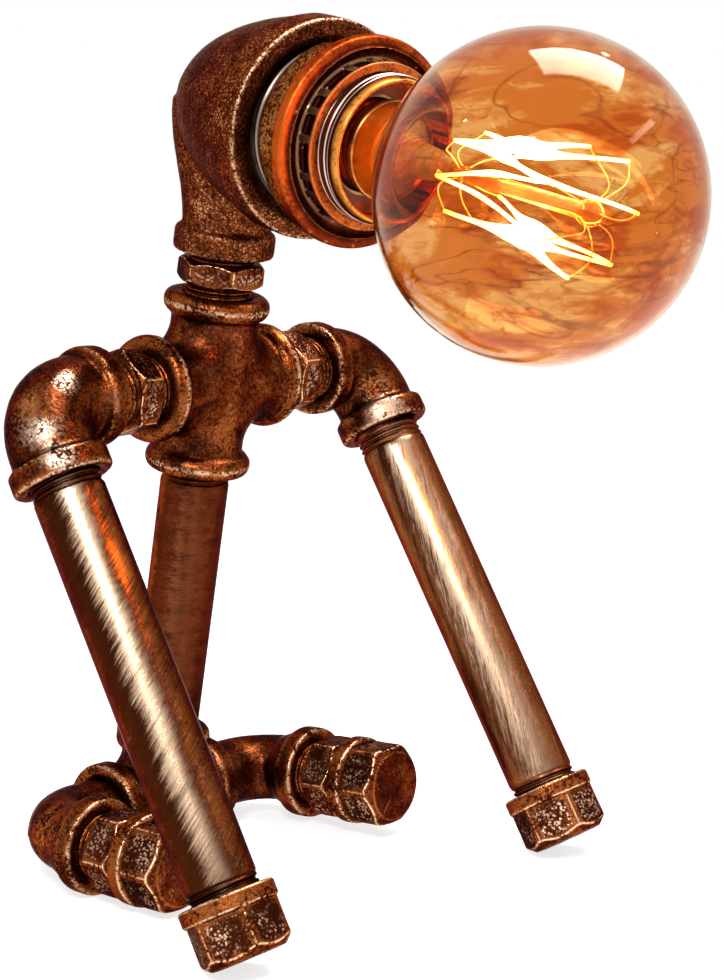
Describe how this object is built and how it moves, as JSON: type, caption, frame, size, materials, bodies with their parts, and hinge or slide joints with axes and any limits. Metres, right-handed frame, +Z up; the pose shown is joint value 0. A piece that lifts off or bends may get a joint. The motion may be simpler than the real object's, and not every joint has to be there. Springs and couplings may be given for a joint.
{
  "type": "desk lamp",
  "caption": "Desk lamp shaped like a small leaning robot of threaded pipe fittings, with hinged arms and legs and a turning head that holds an amber globe bulb.",
  "frame": {"origin": "middle of the object's bounding box in X and Y, on the surface it stands on", "axes": "+X to the robot's left side, -Y the way the robot and its bulb face, +Z up"},
  "size_m": [0.173, 0.2272, 0.2611],
  "materials": {
    "casting": "dark bronze finish, pitted, worn bright on the edges",
    "nipple": "dark bronze finish, worn bright on the edges",
    "pipe": "brushed copper-bronze finish",
    "cap": "dark bronze finish, pitted, worn bright on the edges",
    "bushing": "aged brass, pebbled flats",
    "sleeve": "aged copper",
    "shade_ring": "aged copper, bright on the rim",
    "insulator": "dark red-brown moulded resin",
    "contact_brass": "bright",
    "lead": "matt",
    "grommet": "matt",
    "solder": "soft sheen",
    "amber_glass": "clear, amber tinted",
    "bulb_cap": "bright",
    "black_glass": "gloss",
    "stem_glass": "clear",
    "support_wire": "drawn wire",
    "filament": "glowing"
  },
  "bodies": {
    "torso": {"hip_tee": "casting", "spine_pipe": "pipe", "body_cross": "casting", "neck_nipple": "nipple", "right_shoulder_nipple": "nipple", "left_shoulder_nipple": "nipple", "torso_lead": "lead", "cable_grommet": "grommet"},
    "right_arm": {"right_shoulder_elbow": "casting", "right_arm_pipe": "pipe", "right_hand_cap": "cap"},
    "right_leg": {"right_hip_elbow": "casting", "right_foot_nipple": "nipple", "right_foot_cap": "cap"},
    "left_arm": {"left_shoulder_elbow": "casting", "left_arm_pipe": "pipe", "left_hand_cap": "cap"},
    "left_leg": {"left_hip_elbow": "casting", "left_foot_nipple": "nipple", "left_foot_cap": "cap"},
    "head": {"head_elbow": "casting", "head_bushing": "bushing", "holder_sleeve": "sleeve", "shade_ring": "shade_ring", "holder_insulator": "insulator", "holder_screw_shell": "contact_brass", "centre_contact": "contact_brass", "side_contact": "contact_brass", "terminal_screws": "contact_brass", "head_lead": "lead"},
    "bulb_tip": {"bulb_cap_contact": "solder"},
    "bulb": {"bulb_glass": "amber_glass", "bulb_cap": "bulb_cap", "bulb_cap_insulator": "black_glass", "bulb_stem": "stem_glass", "bulb_supports": "support_wire", "bulb_filament": "filament"}
  },
  "joints": [
    {"name": "right_arm_swing", "type": "hinge", "parent": "torso", "child": "right_arm", "pos_m": [-0.0716, 0.07471, 0.15101], "axis": [-1, 0, 0], "range_deg": [-5, 60]},
    {"name": "left_arm_swing", "type": "hinge", "parent": "torso", "child": "left_arm", "pos_m": [0.0716, 0.07471, 0.15101], "axis": [-1, 0, 0], "range_deg": [-5, 60]},
    {"name": "right_leg_turn", "type": "hinge", "parent": "torso", "child": "right_leg", "pos_m": [0, 0.09871, 0.0149], "axis": [-1, 0, 0], "range_deg": [-10, 90]},
    {"name": "left_leg_turn", "type": "hinge", "parent": "torso", "child": "left_leg", "pos_m": [0, 0.09871, 0.0149], "axis": [-1, 0, 0], "range_deg": [-10, 90]},
    {"name": "head_turn", "type": "hinge", "parent": "torso", "child": "head", "pos_m": [0, 0.05988, 0.23511], "axis": [0, -0.1736, 0.9848], "range_deg": [-75, 100]},
    {"name": "bulb_travel", "type": "slide", "parent": "head", "child": "bulb_tip", "axis": [-0.2164, -0.9615, -0.1695], "range_m": [0, 0.0128]},
    {"name": "bulb_turn", "type": "hinge", "parent": "bulb_tip", "child": "bulb", "pos_m": [-0.0166, -0.01387, 0.22211], "axis": [-0.2164, -0.9615, -0.1695], "range_deg": [0, 1260]}
  ],
  "couplings": [
    {"joint": "bulb_travel", "follows": "bulb_turn", "m_per_rad": 0.00057757}
  ]
}
